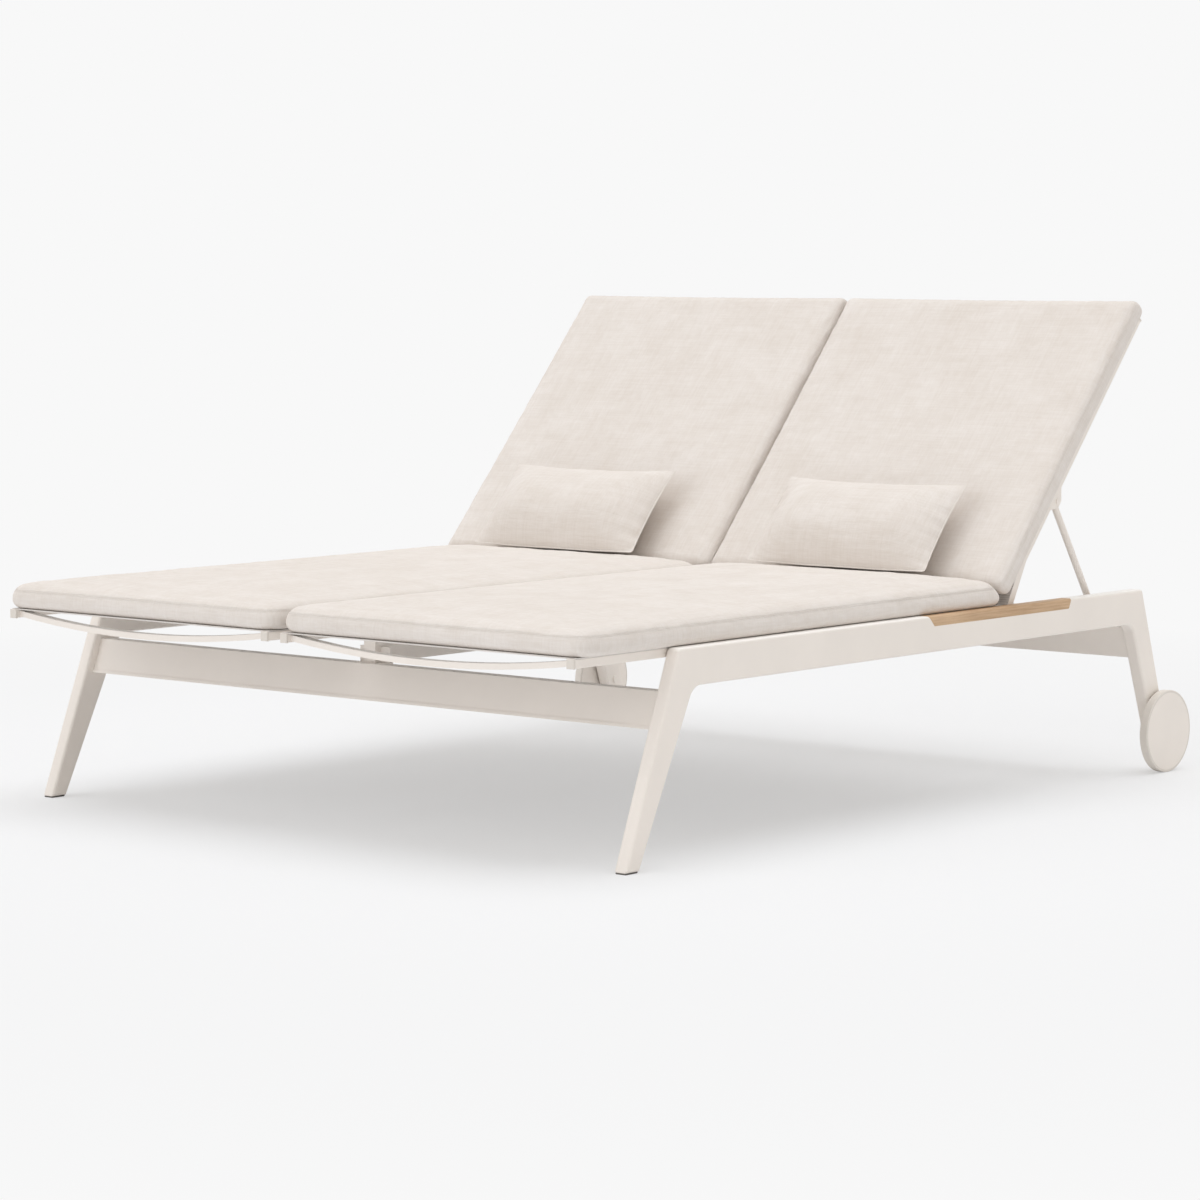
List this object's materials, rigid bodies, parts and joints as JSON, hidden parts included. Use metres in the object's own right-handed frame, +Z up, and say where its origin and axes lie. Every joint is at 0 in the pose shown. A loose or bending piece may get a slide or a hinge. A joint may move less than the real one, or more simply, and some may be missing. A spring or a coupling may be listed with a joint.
{
  "type": "double chaise lounger",
  "caption": "Side-by-side double chaise lounger with separately reclining cushioned backs on swinging stays, lumbar pillows, wooden armrest inlays and transport wheels.",
  "frame": {"origin": "on the floor under the middle of the footprint, on the plane between the two seats", "axes": "+Z up, -Y towards the foot end, +Y towards the head end and wheels, +X to the right as seen from the foot end"},
  "size_m": [1.547, 1.9402, 0.9799],
  "materials": {
    "frame_coat": "matt off-white powder coat",
    "cushion_fabric": "light beige outdoor weave",
    "sling_mesh": "open mesh sling",
    "teak": "oiled pale teak",
    "plastic_fittings": "satin",
    "fasteners": "brushed stainless",
    "tyre": "off-white soft tread"
  },
  "bodies": {
    "base": {"armrest_inlay_left": "teak", "armrest_inlay_right": "teak", "axle_spacers": "plastic_fittings", "centre_beam": "frame_coat", "centre_beam_brackets": "frame_coat", "centre_beam_saddles": "frame_coat", "centre_hinge_pin": "fasteners", "crossbeam_bolts": "fasteners", "foot_glides": "plastic_fittings", "front_crossbeam": "frame_coat", "outer_hinge_pins": "fasteners", "rack_bolts": "fasteners", "rear_crossbeam": "frame_coat", "saddle_screws": "fasteners", "seat_bolts": "fasteners", "seat_bows_left": "frame_coat", "seat_bows_right": "frame_coat", "seat_cushion_left": "cushion_fabric", "seat_cushion_right": "cushion_fabric", "seat_inner_rail_left": "frame_coat", "seat_inner_rail_right": "frame_coat", "seat_outer_rail_left": "frame_coat", "seat_outer_rail_right": "frame_coat", "seat_rail_caps": "plastic_fittings", "seat_sling_left": "sling_mesh", "seat_sling_right": "sling_mesh", "seat_spacers": "plastic_fittings", "side_frame_left": "frame_coat", "side_frame_right": "frame_coat", "stay_racks": "plastic_fittings", "wheel_axles": "frame_coat"},
    "backrest_left": {"back_bows_left": "frame_coat", "back_cushion_left": "cushion_fabric", "back_inner_rail_left": "frame_coat", "back_outer_rail_left": "frame_coat", "back_rail_caps_left": "plastic_fittings", "back_sling_left": "sling_mesh", "hinge_bushes_left": "plastic_fittings", "lumbar_pillow_left": "cushion_fabric", "stay_pins_left": "frame_coat", "stay_tabs_left": "frame_coat"},
    "backrest_right": {"back_bows_right": "frame_coat", "back_cushion_right": "cushion_fabric", "back_inner_rail_right": "frame_coat", "back_outer_rail_right": "frame_coat", "back_rail_caps_right": "plastic_fittings", "back_sling_right": "sling_mesh", "hinge_bushes_right": "plastic_fittings", "lumbar_pillow_right": "cushion_fabric", "stay_pins_right": "frame_coat", "stay_tabs_right": "frame_coat"},
    "stay_left": {"stay_left": "frame_coat"},
    "stay_right": {"stay_right": "frame_coat"},
    "wheel_left": {"wheel_bush_left": "plastic_fittings", "wheel_disc_left": "frame_coat", "wheel_tyre_left": "tyre"},
    "wheel_right": {"wheel_bush_right": "plastic_fittings", "wheel_disc_right": "frame_coat", "wheel_tyre_right": "tyre"}
  },
  "joints": [
    {"name": "backrest_left_hinge", "type": "hinge", "parent": "base", "child": "backrest_left", "pos_m": [-0.37, 0.34687, 0.3446], "axis": [1, 0, 0], "range_deg": [-48.5, 0]},
    {"name": "stay_left_hinge", "type": "hinge", "parent": "backrest_left", "child": "stay_left", "pos_m": [-0.37, 0.54459, 0.57864], "axis": [1, 0, 0], "range_deg": [0, 103]},
    {"name": "wheel_left_spin", "type": "hinge", "parent": "base", "child": "wheel_left", "pos_m": [-0.7645, 0.88463, 0.0855], "axis": [1, 0, 0], "continuous": true},
    {"name": "backrest_right_hinge", "type": "hinge", "parent": "base", "child": "backrest_right", "pos_m": [0.37, 0.34687, 0.3446], "axis": [1, 0, 0], "range_deg": [-48.5, 0]},
    {"name": "stay_right_hinge", "type": "hinge", "parent": "backrest_right", "child": "stay_right", "pos_m": [0.37, 0.54459, 0.57864], "axis": [1, 0, 0], "range_deg": [0, 103]},
    {"name": "wheel_right_spin", "type": "hinge", "parent": "base", "child": "wheel_right", "pos_m": [0.7645, 0.88463, 0.0855], "axis": [1, 0, 0], "continuous": true}
  ],
  "couplings": [
    {"joint": "stay_left_hinge", "follows": "backrest_left_hinge", "ratio": -2.1227},
    {"joint": "stay_right_hinge", "follows": "backrest_right_hinge", "ratio": -2.1227}
  ]
}
